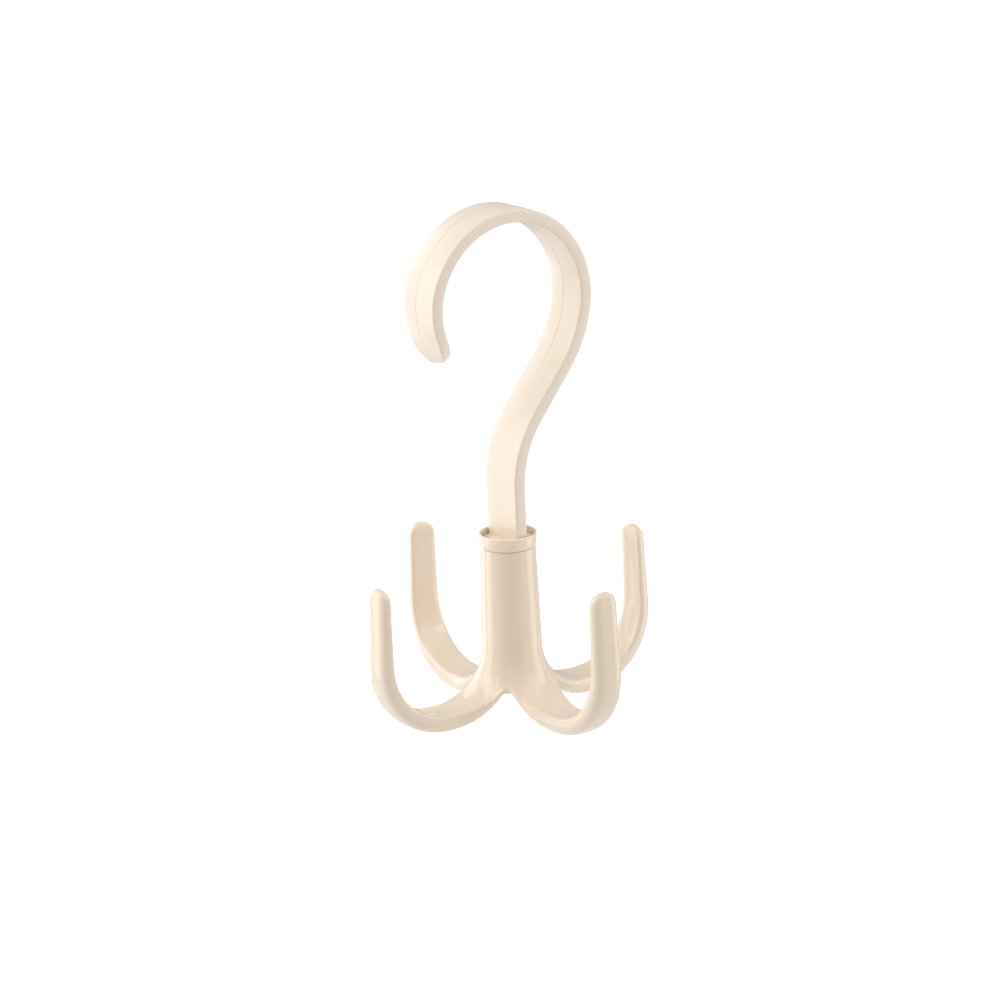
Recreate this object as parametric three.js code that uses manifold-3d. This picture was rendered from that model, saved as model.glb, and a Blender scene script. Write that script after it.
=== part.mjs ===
// Rotating closet hook: a strap hook that hangs on a rod, and a four-claw hanger that swivels under it.
// Millimetres, +Z up. The origin is the crown of the hook, where the rod bears, and lies on the swivel axis.
// The strap bends in the XZ plane with its mouth towards -X, and the claws point along +X, -X, +Y and -Y.

import * as THREE from "three";
import { mergeVertices } from "three/addons/utils/BufferGeometryUtils.js";
import Module from "manifold-3d";

const wasm = await Module();
wasm.setup();

const { degToRad, lerp, smoothstep } = THREE.MathUtils;

// Fits
const runningGap = 0.3;
const seatGap = 0.3;
const cutOverrun = 2;

// Strap hook
const rodSeatRadius = 27.4;
const strapWidth = 16.9;
const strapThickness = 4.6;
const strapMidRidge = 0.14;
const strapEdgeRadius = 0.8;
const stemRise = 16;
const stemBendRadius = 36.6;
const shoulderRadius = 43.6;
const tipBendRadius = 25;
const tipCornerRadius = 5.1;
const tipNoseRadius = 1.2;
const stemLean = degToRad(39.1);
const shoulderTurn = degToRad(24);
const crownTurn = degToRad(164.5);
const tipTurn = degToRad(70);

// Foot of the strap: a disc in the cap's recess and a journal below it
const footDiscThickness = 1;
const journalRadius = 3.2;
const journalChamfer = 0.35;

// Collar cap
const capRimRadius = 9.7;
const capBaseRadius = 9.3;
const capHeight = 4.4;
const capWall = 0.85;
const capRecessDepth = 3.2;
const capSkirtLength = 6;
const capEdgeRadius = 0.35;

// Tube of the claw body
const tubeTopRadius = 9.1;
const tubeFlareRadius = 10;
const tubeLength = 49.4;
const tubeTaperLength = 35;
const tubeEdgeRadius = 0.35;
const tubeMouthRadius = 1.3;
const counterboreWall = 1.6;
const webThickness = 3;
const boreTopRadius = 6;
const boreMouthRadius = 6.5;

// Claws
const clawCount = 4;
const clawTipRadius = 51.9;
const clawTipDrop = 8.5;
const clawDepth = 47.3;
const clawCradleFlat = 1.6;
const outerBendShare = 0.54;
const clawRootThickness = 4;
const clawThickness = 6.3;
const clawTipThickness = 4;
const clawWebWidth = 20;
const clawWebShare = 0.5;
const clawCradleWidth = 12.2;
const clawTipWidth = 9.7;
const clawTipLean = degToRad(1.5);
const clawTipRound = 4.2;
const clawRootRise = 4;
const clawRootSink = 0.2;
const innerFullness = 5;
const backFullness = 2.6;
const clawTipBluntness = 0.8;
const clawFlatAngle = degToRad(20);
const clawEdgeAngle = degToRad(12);

// Swivel fasteners
const washerRadius = 5.2;
const washerThickness = 0.8;
const screwHeadRadius = 2.9;
const screwHeadHeight = 1.9;
const screwHeadDome = 0.7;
const screwShankRadius = 1.3;
const screwShankLength = 9;
const screwPointLength = 1.5;
const screwRecessSpan = 3.2;
const screwRecessWidth = 0.7;
const screwRecessDepth = 1.1;

// Facets
const latheSides = 32;
const bendStep = degToRad(5);
const cradleStep = degToRad(7.5);
const roundSteps = 3;
const strapTipSteps = 10;
const clawFacePoints = 1 + latheSides / clawCount;
const clawTipSteps = 5;
const clawTipOpenShare = 0.15;

// Places along the swivel axis, from the cap's rim at zero
const footTopZ = -(capRecessDepth - runningGap - footDiscThickness);
const footBottomZ = footTopZ - footDiscThickness;
const tubeTopZ = -capHeight - seatGap;
const tubeBottomZ = tubeTopZ - tubeLength;
const counterboreZ = -capHeight - capSkirtLength - seatGap;
const webBottomZ = counterboreZ - webThickness;
const journalEndZ = webBottomZ - runningGap;
const washerTopZ = journalEndZ - seatGap;
const screwSeatZ = washerTopZ - washerThickness - seatGap;

// Radii that follow from the fits
const capRecessRadius = capRimRadius - capWall;
const footDiscRadius = capRecessRadius - runningGap;
const bearingRadius = journalRadius + runningGap;
const counterboreRadius = tubeTopRadius - counterboreWall;
const capSkirtRadius = counterboreRadius - seatGap;
const pilotRadius = screwShankRadius + seatGap;

// Solid helpers
function closedGeometry(geometry) {
  const bare = geometry.clone();
  bare.deleteAttribute("normal");
  bare.deleteAttribute("uv");
  const merged = mergeVertices(bare);
  const corners = merged.index.array;
  const kept = [];
  for (let i = 0; i < corners.length; i += 3) {
    const [a, b, c] = [corners[i], corners[i + 1], corners[i + 2]];
    if (a !== b && b !== c && c !== a) kept.push(a, b, c);
  }
  merged.setIndex(kept);
  return merged;
}

function solidOf(geometry) {
  const closed = closedGeometry(geometry);
  return new wasm.Manifold(new wasm.Mesh({
    numProp: 3,
    vertProperties: new Float32Array(closed.attributes.position.array),
    triVerts: new Uint32Array(closed.index.array),
  }));
}

function geometryOf(solid) {
  const mesh = solid.getMesh();
  const geometry = new THREE.BufferGeometry();
  geometry.setAttribute("position", new THREE.BufferAttribute(mesh.vertProperties, mesh.numProp));
  geometry.setIndex(new THREE.BufferAttribute(mesh.triVerts, 1));
  return geometry;
}

// A turned solid about Z from [radius, z] points that run from the lower end to the upper end
function turned(profile, sides) {
  const points = profile.map(([radius, z]) => new THREE.Vector2(radius, z));
  const geometry = new THREE.LatheGeometry(points, sides);
  geometry.rotateX(Math.PI / 2);
  return geometry;
}

// Points of a quarter round, from one angle to another about a centre
function arcPoints(centreR, centreZ, radius, from, to, steps) {
  const points = [];
  for (let i = 0; i <= steps; i++) {
    const angle = lerp(from, to, i / steps);
    points.push([centreR + radius * Math.cos(angle), centreZ + radius * Math.sin(angle)]);
  }
  return points;
}

// A closed skin over rings of points, with a flat fan on each end
function loft(rings) {
  const count = rings[0].length;
  const positions = rings.flat().flatMap((point) => point.toArray());
  const faces = [];
  for (let r = 0; r + 1 < rings.length; r++) {
    for (let i = 0; i < count; i++) {
      const a = r * count + i;
      const b = r * count + ((i + 1) % count);
      faces.push(a, b, a + count, b, b + count, a + count);
    }
  }
  for (const [ring, start, flip] of [[rings[0], 0, true], [rings.at(-1), (rings.length - 1) * count, false]]) {
    const centre = ring.reduce((sum, point) => sum.add(point), new THREE.Vector3()).divideScalar(count);
    const hub = positions.length / 3;
    positions.push(...centre.toArray());
    for (let i = 0; i < count; i++) {
      const a = start + i;
      const b = start + ((i + 1) % count);
      faces.push(...(flip ? [hub, b, a] : [hub, a, b]));
    }
  }
  const geometry = new THREE.BufferGeometry();
  geometry.setAttribute("position", new THREE.Float32BufferAttribute(positions, 3));
  geometry.setIndex(faces);
  return geometry;
}

// Stations along a flat path of straights and bends.
// heading is the angle from straight ahead (up), and side is the unit vector to the right of the path.
function walk(start, startHeading, legs, step) {
  const stations = [];
  let [x, z] = start;
  let heading = startHeading;
  let travelled = 0;
  const record = () => stations.push({ x, z, heading, travelled });
  record();
  for (const leg of legs) {
    if (leg.turn === undefined) {
      for (let i = 1; i <= leg.parts; i++) {
        x += (leg.length / leg.parts) * Math.sin(heading);
        z += (leg.length / leg.parts) * Math.cos(heading);
        travelled += leg.length / leg.parts;
        record();
      }
      continue;
    }
    const parts = Math.ceil(Math.abs(leg.turn) / step);
    const side = Math.sign(leg.turn);
    const centreX = x + side * leg.radius * Math.cos(heading);
    const centreZ = z - side * leg.radius * Math.sin(heading);
    const first = heading;
    for (let i = 1; i <= parts; i++) {
      heading = first + (leg.turn * i) / parts;
      x = centreX - side * leg.radius * Math.cos(heading);
      z = centreZ + side * leg.radius * Math.sin(heading);
      travelled += (leg.radius * Math.abs(leg.turn)) / parts;
      record();
    }
  }
  return stations;
}

// Strap path: up the stem, over to the right, back round the shoulder and crown, and down to the tip
const crownRadius = rodSeatRadius + strapThickness / 2;
const shoulderHeading = stemLean - shoulderTurn;
const stemShift = stemBendRadius * (1 - Math.cos(stemLean));
const shoulderShift = shoulderRadius * (Math.cos(shoulderHeading) - Math.cos(stemLean));
const crownShift = crownRadius * Math.cos(shoulderHeading);
const slopeLength = (crownShift - stemShift - shoulderShift) / Math.sin(stemLean);
const crownCentreZ = stemRise
  + stemBendRadius * Math.sin(stemLean)
  + slopeLength * Math.cos(stemLean)
  + shoulderRadius * (Math.sin(stemLean) - Math.sin(shoulderHeading))
  + crownRadius * Math.sin(shoulderHeading);
const crownZ = crownCentreZ + rodSeatRadius;

function strapStations() {
  const footZ = footTopZ - footDiscThickness / 2;
  const cornerTurn = tipCornerRadius / tipBendRadius;
  const legs = [
    { length: stemRise - footZ, parts: 2 },
    { radius: stemBendRadius, turn: stemLean },
    { length: slopeLength, parts: 1 },
    { radius: shoulderRadius, turn: -shoulderTurn },
    { radius: crownRadius, turn: -crownTurn },
    { radius: tipBendRadius, turn: cornerTurn - tipTurn },
  ];
  const cornerShare = (step) => Math.sin((Math.PI / 2) * (step / strapTipSteps));
  for (let i = 1; i <= strapTipSteps; i++) {
    legs.push({ radius: tipBendRadius, turn: cornerTurn * (cornerShare(i - 1) - cornerShare(i)) });
  }
  return walk([0, footZ], 0, legs, bendStep);
}

// Rounded section of the strap, with a slight ridge along the middle of both wide faces
function strapRing(station, halfWidth, halfThickness) {
  const round = Math.min(strapEdgeRadius, halfThickness - strapMidRidge, halfWidth);
  const faceHalf = halfThickness - strapMidRidge;
  const outline = [[halfThickness, 0]];
  for (const [signN, signY] of [[1, 1], [-1, 1], [-1, -1], [1, -1]]) {
    const corner = [];
    for (let i = 0; i <= roundSteps; i++) {
      const angle = (Math.PI / 2) * (i / roundSteps);
      corner.push([
        signN * (faceHalf - round + round * Math.cos(angle)),
        signY * (halfWidth - round + round * Math.sin(angle)),
      ]);
    }
    if (signN * signY < 0) corner.reverse();
    outline.push(...corner);
    if (signN < 0 && signY > 0) outline.push([-halfThickness, 0]);
  }
  const [sideX, sideZ] = [Math.cos(station.heading), -Math.sin(station.heading)];
  return outline.map(([n, y]) => new THREE.Vector3(station.x + n * sideX, y, station.z + n * sideZ));
}

// Distance that a rounded corner has drawn in, at a distance from the end
function drawIn(radius, fromEnd) {
  const into = Math.max(radius - fromEnd, 0);
  return radius - Math.sqrt(Math.max(radius * radius - into * into, 0));
}

function strapGeometry() {
  const stations = strapStations();
  const total = stations.at(-1).travelled;
  return loft(stations.map((station) => {
    const fromEnd = total - station.travelled;
    const halfWidth = strapWidth / 2 - drawIn(tipCornerRadius, fromEnd);
    const halfThickness = strapThickness / 2 - drawIn(tipNoseRadius, fromEnd);
    return strapRing(station, halfWidth, halfThickness);
  }));
}

function footProfile() {
  return [
    [0, journalEndZ],
    [journalRadius - journalChamfer, journalEndZ],
    [journalRadius, journalEndZ + journalChamfer],
    [journalRadius, footBottomZ],
    [footDiscRadius, footBottomZ],
    [footDiscRadius, footTopZ],
    [0, footTopZ],
  ];
}

function upperHookGeometry() {
  const pilotTopZ = screwSeatZ + screwShankLength + seatGap;
  const pilot = [
    [0, journalEndZ - cutOverrun],
    [pilotRadius, journalEndZ - cutOverrun],
    [pilotRadius, pilotTopZ],
    [0, pilotTopZ],
  ];
  const whole = solidOf(strapGeometry())
    .add(solidOf(turned(footProfile(), latheSides)))
    .subtract(solidOf(turned(pilot, latheSides)));
  return geometryOf(whole);
}

// Collar cap: a rim round the strap's foot, a floor with the bearing, and a skirt in the tube's counterbore
function collarCapGeometry() {
  const skirtEndZ = -capHeight - capSkirtLength;
  const profile = [
    [bearingRadius, skirtEndZ],
    [capSkirtRadius - capEdgeRadius, skirtEndZ],
    [capSkirtRadius, skirtEndZ + capEdgeRadius],
    [capSkirtRadius, -capHeight],
    [capBaseRadius - capEdgeRadius, -capHeight],
    ...arcPoints(capBaseRadius - capEdgeRadius, -capHeight + capEdgeRadius, capEdgeRadius,
      -Math.PI / 2, 0, roundSteps).slice(1),
    ...arcPoints(capRimRadius - capEdgeRadius, -capEdgeRadius, capEdgeRadius, 0, Math.PI / 2, roundSteps),
    [capRecessRadius, 0],
    [capRecessRadius, -capRecessDepth],
    [bearingRadius, -capRecessDepth],
    [bearingRadius, skirtEndZ],
  ];
  return closedGeometry(turned(profile, latheSides));
}

// Claw path in the plane through the swivel axis: down inside the tube's wall, round the cradle, up to the tip
const cradleFloorZ = -clawTipDrop - clawDepth;
const clawPathFloorZ = cradleFloorZ - clawThickness / 2;

function tubeRadiusAt(z) {
  return lerp(tubeTopRadius, tubeFlareRadius, Math.min((tubeTopZ - z) / tubeTaperLength, 1));
}

const clawRootZ = tubeTopZ - tubeTaperLength + clawRootRise;
const clawRootRadius = tubeRadiusAt(clawRootZ) - clawRootSink;
const clawRootMiddle = clawRootRadius - clawRootThickness / 2;

// The two bends share what the tip's place leaves once the limb's lean is taken off
const clawRise = -clawTipDrop - clawPathFloorZ;
const clawReach = clawTipRadius - clawRootMiddle - clawCradleFlat;
const leanSlope = Math.tan(clawTipLean);
const outerReachShare = outerBendShare * (1 / Math.cos(clawTipLean) + leanSlope);
const bendRadii = (clawReach + clawRise * leanSlope) / (1 - outerBendShare + outerReachShare);
const outerBendRadius = bendRadii * outerBendShare;
const innerBendRadius = bendRadii - outerBendRadius;
const clawRootLength = clawRootZ - clawPathFloorZ - innerBendRadius;
const clawLimbLength = (clawRise - outerBendRadius * (1 + Math.sin(clawTipLean))) / Math.cos(clawTipLean);

function clawStations() {
  return walk([clawRootMiddle, clawRootZ], Math.PI, [
    { length: clawRootLength, parts: 2 },
    { radius: innerBendRadius, turn: -Math.PI / 2 },
    { length: clawCradleFlat, parts: 1 },
    { radius: outerBendRadius, turn: -Math.PI / 2 - clawTipLean },
    { length: clawLimbLength - clawTipRound, parts: 2 },
    { length: clawTipRound, parts: 1 },
  ], cradleStep);
}

// Section of the tube's wall: an arc outside and an arc inside, over one claw's share of the tube
function wallSection() {
  const innerRadius = clawRootRadius - clawRootThickness;
  const halfAngle = Math.PI / clawCount;
  const outline = [];
  for (const [radius, side] of [[clawRootRadius, 1], [innerRadius, -1]]) {
    for (let i = 0; i < clawFacePoints; i++) {
      const angle = side * lerp(halfAngle, -halfAngle, i / (clawFacePoints - 1));
      outline.push([radius * Math.cos(angle) - clawRootMiddle, radius * Math.sin(angle)]);
    }
  }
  return outline;
}

// Section of a claw: a face inside the cradle that is flat in its middle, round edges, and a crowned back
function clawSection(halfWidth, halfThickness) {
  const flatLevel = Math.cos(clawFlatAngle) ** (2 / innerFullness);
  const outline = [];
  for (const [side, fullness, level] of [[1, innerFullness, flatLevel], [-1, backFullness, 1]]) {
    for (let i = 0; i < clawFacePoints; i++) {
      const angle = lerp(clawEdgeAngle, Math.PI - clawEdgeAngle, i / (clawFacePoints - 1));
      const across = Math.sign(Math.cos(angle)) * Math.abs(Math.cos(angle)) ** (2 / fullness);
      const out = Math.min(Math.sin(angle) ** (2 / fullness) / level, 1);
      outline.push([side * halfThickness * out, side * halfWidth * across]);
    }
  }
  return outline;
}

function clawGeometry() {
  const stations = clawStations();
  const total = stations.at(-1).travelled;
  const bendStart = clawRootLength;
  const cradleStart = bendStart + (innerBendRadius * Math.PI) / 2;
  const limbStart = cradleStart + clawCradleFlat;
  const webPlace = lerp(bendStart, cradleStart, clawWebShare);
  const wall = wallSection();
  const rootWidth = 2 * clawRootRadius * Math.sin(Math.PI / clawCount);
  const ringAt = (station, scaleWidth, scaleThickness) => {
    const s = station.travelled;
    const formed = smoothstep(s, bendStart, cradleStart);
    const outer = smoothstep(s, limbStart, total);
    const web = smoothstep(s, 0, webPlace);
    const inner = smoothstep(s, webPlace, limbStart);
    const width = lerp(lerp(lerp(rootWidth, clawWebWidth, web), clawCradleWidth, inner), clawTipWidth, outer);
    const thickness = lerp(lerp(clawRootThickness, clawThickness, formed), clawTipThickness, outer);
    const section = clawSection((width / 2) * scaleWidth, (thickness / 2) * scaleThickness);
    const [inX, inZ] = [-Math.cos(station.heading), Math.sin(station.heading)];
    return section.map(([n, y], i) => {
      const depth = lerp(wall[i][0], n, formed);
      const across = lerp(wall[i][1], y, formed);
      return new THREE.Vector3(station.x + depth * inX, across, station.z + depth * inZ);
    });
  };
  const rings = stations.slice(0, -1).map((station) => ringAt(station, 1, 1));
  const shoulder = stations.at(-2);
  for (let i = 1; i <= clawTipSteps; i++) {
    const angle = (Math.PI / 2) * (i / (clawTipSteps + clawTipOpenShare));
    const along = clawTipRound * Math.sin(angle);
    const place = {
      ...shoulder,
      x: shoulder.x + along * Math.sin(shoulder.heading),
      z: shoulder.z + along * Math.cos(shoulder.heading),
      travelled: shoulder.travelled + along,
    };
    rings.push(ringAt(place, Math.cos(angle), Math.cos(angle) ** clawTipBluntness));
  }
  return loft(rings);
}

// Claw body: a tapering tube that spreads into the claws, hollow from below up to the bearing web
function clawBodyGeometry() {
  const tube = [
    [0, tubeBottomZ],
    ...arcPoints(tubeFlareRadius - tubeMouthRadius, tubeBottomZ + tubeMouthRadius, tubeMouthRadius,
      -Math.PI / 2, 0, roundSteps),
    [tubeFlareRadius, tubeTopZ - tubeTaperLength],
    ...arcPoints(tubeTopRadius - tubeEdgeRadius, tubeTopZ - tubeEdgeRadius, tubeEdgeRadius,
      0, Math.PI / 2, roundSteps),
    [0, tubeTopZ],
  ];
  const hollowEndZ = clawPathFloorZ - clawThickness;
  const hollow = [
    [0, hollowEndZ],
    [boreMouthRadius, hollowEndZ],
    [boreMouthRadius, tubeBottomZ],
    [boreTopRadius, webBottomZ],
    [bearingRadius, webBottomZ],
    [bearingRadius, counterboreZ],
    [counterboreRadius, counterboreZ],
    [counterboreRadius, tubeTopZ + cutOverrun],
    [0, tubeTopZ + cutOverrun],
  ];
  let body = solidOf(turned(tube, latheSides));
  for (let i = 0; i < clawCount; i++) {
    const claw = clawGeometry();
    claw.rotateZ((2 * Math.PI * i) / clawCount);
    body = body.add(solidOf(claw));
  }
  return geometryOf(body.subtract(solidOf(turned(hollow, latheSides))));
}

function washerGeometry() {
  return closedGeometry(turned([
    [pilotRadius, washerTopZ - washerThickness],
    [washerRadius, washerTopZ - washerThickness],
    [washerRadius, washerTopZ],
    [pilotRadius, washerTopZ],
    [pilotRadius, washerTopZ - washerThickness],
  ], latheSides));
}

// Retaining screw: a pan head with a cross recess, and a shank that ends in a point
function screwGeometry() {
  const headEndZ = screwSeatZ - screwHeadHeight;
  const shankEndZ = screwSeatZ + screwShankLength;
  const body = [
    [0, headEndZ],
    [screwHeadRadius - screwHeadDome, headEndZ],
    ...arcPoints(screwHeadRadius - screwHeadDome, headEndZ + screwHeadDome, screwHeadDome,
      -Math.PI / 2, 0, roundSteps).slice(1),
    [screwHeadRadius, screwSeatZ],
    [screwShankRadius, screwSeatZ],
    [screwShankRadius, shankEndZ - screwPointLength],
    [0, shankEndZ],
  ];
  let screw = solidOf(turned(body, latheSides));
  for (const angle of [0, Math.PI / 2]) {
    const slot = new THREE.BoxGeometry(screwRecessSpan, screwRecessWidth, 2 * screwRecessDepth);
    slot.rotateZ(angle);
    slot.translate(0, 0, headEndZ);
    screw = screw.subtract(solidOf(slot));
  }
  return geometryOf(screw);
}

function moulded(name, geometry, colour, roughness) {
  const material = new THREE.MeshStandardMaterial({ color: colour, roughness, metalness: 0 });
  const mesh = new THREE.Mesh(geometry, material);
  mesh.name = name;
  return mesh;
}

function metal(name, geometry) {
  const material = new THREE.MeshStandardMaterial({ color: 0xb9bcc0, roughness: 0.32, metalness: 1 });
  const mesh = new THREE.Mesh(geometry, material);
  mesh.name = name;
  return mesh;
}

// The pieces are built with the cap's rim at zero, and the group lowers them to hang from the origin
const pieces = new THREE.Group();
pieces.add(moulded("upper_hook", upperHookGeometry(), 0xf1e4cf, 0.28));
pieces.add(moulded("collar_cap", collarCapGeometry(), 0xefe1cb, 0.28));
pieces.add(moulded("claw_body", clawBodyGeometry(), 0xf1e4cf, 0.28));
pieces.add(metal("swivel_washer", washerGeometry()));
pieces.add(metal("retaining_screw", screwGeometry()));
pieces.position.z = -crownZ;

const group = new THREE.Group();
group.add(pieces);

export default group;
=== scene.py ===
"""Looks of a rotating closet hook: a strap hook on a rod, and four claws that swivel under it.

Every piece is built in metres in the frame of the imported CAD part. The origin is the crown of the
strap hook, where the rod bears, and the swivel axis is Z. Heights in the classes below are in
millimetres from the rim of the collar cap, and lift_to_frame() takes them to the frame.
"""

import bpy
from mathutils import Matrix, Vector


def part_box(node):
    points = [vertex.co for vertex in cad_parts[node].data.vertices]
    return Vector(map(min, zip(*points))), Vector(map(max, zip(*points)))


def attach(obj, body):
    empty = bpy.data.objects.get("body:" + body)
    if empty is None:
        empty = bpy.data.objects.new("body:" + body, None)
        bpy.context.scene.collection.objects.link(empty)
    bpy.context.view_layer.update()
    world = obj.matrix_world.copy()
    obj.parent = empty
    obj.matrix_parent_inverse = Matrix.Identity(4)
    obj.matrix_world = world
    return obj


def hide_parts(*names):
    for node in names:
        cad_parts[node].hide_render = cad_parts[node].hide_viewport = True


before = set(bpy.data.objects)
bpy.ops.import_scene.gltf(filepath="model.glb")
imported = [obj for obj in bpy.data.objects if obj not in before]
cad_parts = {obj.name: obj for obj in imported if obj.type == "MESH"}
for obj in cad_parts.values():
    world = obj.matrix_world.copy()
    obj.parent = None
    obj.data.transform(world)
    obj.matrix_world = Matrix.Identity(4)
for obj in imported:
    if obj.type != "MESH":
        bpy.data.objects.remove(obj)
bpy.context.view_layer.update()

import logging
import math
from collections.abc import Iterator
from contextlib import contextmanager
from dataclasses import dataclass
from enum import Enum
from functools import partialmethod

import bmesh
import bpy
import numpy as np
from mathutils import Matrix, Vector

MM = 0.001
RIM_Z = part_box("collar_cap")[1].z / MM
WELD_REACH = 0.002 * MM
SLIVER_LENGTH = 0.001 * MM
NEARLY_NOTHING = 1e-6
WHITE = (1.0, 1.0, 1.0, 1.0)

log = logging.getLogger("closet_hook")

Pair = tuple[float, float]
Triple = tuple[float, float, float]
Row = tuple[float, ...]
Edge = tuple[Pair, ...]
Profile = list[Pair]
Faces = list[tuple[int, ...]]
Outputs = bpy.types.bpy_prop_collection
Socket = bpy.types.NodeSocket


class Body(Enum):
    """The two bodies of the swivel joint."""

    HOOK = "hook"
    CLAWS = "claws"


class Slot(Enum):
    """Material slots of the record."""

    HOOK = "hook_plastic"
    COLLAR = "collar_plastic"
    CLAWS = "claw_plastic"
    STEEL = "plated_steel"


def lerp(start: float, end: float, share: float) -> float:
    """Value between start and end."""
    return start + (end - start) * share


def smoothstep(value: float, low: float, high: float) -> float:
    """Smooth share of value's way from low to high, from 0 to 1."""
    share = min(max((value - low) / (high - low), 0.0), 1.0)
    return share * share * (3.0 - 2.0 * share)


def sagitta(across: float, radius: float, share: float) -> float:
    """Fall of a curved wall at a distance from its crown.

    Args:
        across: Distance from the crown.
        radius: The wall's radius.
        share: Share of the wall's curvature that is left, from 0 for a flat face.

    Returns:
        The fall.
    """
    curve = share / radius
    if curve < NEARLY_NOTHING:
        return 0.0
    return (1 - math.sqrt(max(1 - (curve * across) ** 2, 0.0))) / curve


def direction(turn: float, rise: float) -> Vector:
    """Direction towards a place round the object, from its turn and its rise in radians."""
    return Vector((math.sin(turn) * math.cos(rise), -math.cos(turn) * math.cos(rise),
                   math.sin(rise)))


def lift_to_frame(points: np.ndarray) -> np.ndarray:
    """Takes x, y, z rows in millimetres from the cap's rim to metres in the part's frame."""
    return (np.asarray(points, float) + [0.0, 0.0, RIM_Z]) * MM


def new_object(name: str, data: bpy.types.ID) -> bpy.types.Object:
    """Links a new object to the scene.

    Args:
        name: The object's name.
        data: Its mesh, camera or lamp.

    Returns:
        The object.
    """
    made = bpy.data.objects.new(name, data)
    bpy.context.scene.collection.objects.link(made)
    return made


def raw_mesh(name: str, points: np.ndarray, edges: Faces, faces: Faces) -> bpy.types.Mesh:
    """Makes a mesh in the part's frame just as it is given.

    Args:
        name: The mesh's name.
        points: Corners in millimetres from the cap's rim.
        edges: Corner numbers of each loose edge.
        faces: Corner numbers of each face.

    Returns:
        The mesh.
    """
    mesh = bpy.data.meshes.new(name)
    mesh.from_pydata([tuple(point) for point in lift_to_frame(points)], edges, faces)
    return mesh


@contextmanager
def editing(mesh: bpy.types.Mesh) -> Iterator[bmesh.types.BMesh]:
    """Opens a mesh for editing, and writes it back afterwards.

    Args:
        mesh: The mesh.

    Yields:
        The mesh's corners, edges and faces.
    """
    shell = bmesh.new()
    shell.from_mesh(mesh)
    yield shell
    shell.to_mesh(mesh)
    shell.free()


def turn_out(shell: bmesh.types.BMesh) -> None:
    """Turns the faces of a closed shell out, where they point in."""
    if shell.calc_volume(signed=True) < 0:
        bmesh.ops.reverse_faces(shell, faces=shell.faces)


def closed_mesh(name: str, points: np.ndarray, faces: Faces) -> bpy.types.Mesh:
    """Makes a closed mesh in the part's frame, with its faces pointing out.

    Args:
        name: The mesh's name.
        points: Corners in millimetres from the cap's rim.
        faces: Corner numbers of each face.

    Returns:
        The mesh.
    """
    mesh = raw_mesh(name, points, [], faces)
    with editing(mesh) as shell:
        bmesh.ops.remove_doubles(shell, verts=shell.verts, dist=WELD_REACH)
        bmesh.ops.recalc_face_normals(shell, faces=shell.faces)
        turn_out(shell)
    return mesh


def filleted(corners: list[Triple], steps: int = 4) -> Profile:
    """Rounds the corners of a profile.

    Args:
        corners: Each corner's radius from the axis, height and fillet radius, 0 for a sharp one.
        steps: Straight pieces in each fillet.

    Returns:
        The rounded profile.
    """
    profile: Profile = []
    for place, (r, z, fillet) in enumerate(corners):
        if fillet <= 0 or place in (0, len(corners) - 1):
            profile.append((r, z))
            continue
        here = np.array([r, z])
        before = np.array(corners[place - 1][:2]) - here
        after = np.array(corners[place + 1][:2]) - here
        before /= np.linalg.norm(before)
        after /= np.linalg.norm(after)
        half = math.acos(float(np.clip(before @ after, -1, 1))) / 2
        reach = fillet / math.tan(half)
        middle = here + (before + after) / np.linalg.norm(before + after) * fillet / math.sin(half)
        first = here + before * reach - middle
        last = here + after * reach - middle
        turn = math.atan2(first[0] * last[1] - first[1] * last[0], float(first @ last))
        for step in range(steps + 1):
            cosine, sine = math.cos(turn * step / steps), math.sin(turn * step / steps)
            profile.append((float(middle[0] + (first[0] * cosine - first[1] * sine)),
                            float(middle[1] + (first[0] * sine + first[1] * cosine))))
    return profile


def ringed_mesh(name: str, levels: list[tuple[list[float], float]]) -> bpy.types.Mesh:
    """Makes a closed mesh from rings round the swivel axis.

    Args:
        name: The mesh's name.
        levels: Each ring's radius at every side, and its height. A ring of no size is a pole.

    Returns:
        The mesh.
    """
    points: list[Triple] = []
    faces: Faces = []
    before: list[int] = []
    for radii, z in levels:
        start, sides = len(points), len(radii)
        if max(radii) < NEARLY_NOTHING:
            points.append((0.0, 0.0, z))
            ring = [start] * sides
        else:
            turns = [2 * math.pi * side / sides for side in range(sides)]
            points.extend((r * math.cos(turn), r * math.sin(turn), z)
                          for r, turn in zip(radii, turns))
            ring = list(range(start, start + sides))
        for quad in zip(before, before[1:] + before[:1], ring[1:] + ring[:1], ring):
            kept = tuple(dict.fromkeys(quad))
            if len(kept) > 2:
                faces.append(kept)
        before = ring
    return closed_mesh(name, np.array(points), faces)


def turned_piece(name: str, profile: Profile, sides: int,
                 material: bpy.types.Material) -> bpy.types.Object:
    """Turns a closed or axis-to-axis profile about the swivel axis.

    Args:
        name: The name of the object and its mesh.
        profile: Radius and height of each point. A point on the axis becomes a pole.
        sides: Faces round the axis.
        material: The piece's finish.

    Returns:
        The object.
    """
    piece = new_object(name, ringed_mesh(name, [([r] * sides, z) for r, z in profile]))
    piece.data.materials.append(material)
    return piece


def shade(mesh: bpy.types.Mesh, sharp_above: float) -> None:
    """Shades a mesh smooth, apart from its edges above an angle in degrees."""
    mesh.shade_smooth()
    mesh.set_sharp_from_angle(angle=math.radians(sharp_above))


def keep_result(piece: bpy.types.Object, modifier: bpy.types.Modifier) -> None:
    """Works a modifier into an object's mesh, and removes the modifier.

    Args:
        piece: The object.
        modifier: Its only modifier.
    """
    bpy.context.view_layer.update()
    evaluated = piece.evaluated_get(bpy.context.evaluated_depsgraph_get())
    result = bpy.data.meshes.new_from_object(evaluated)
    piece.modifiers.remove(modifier)
    piece.data = result


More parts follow.
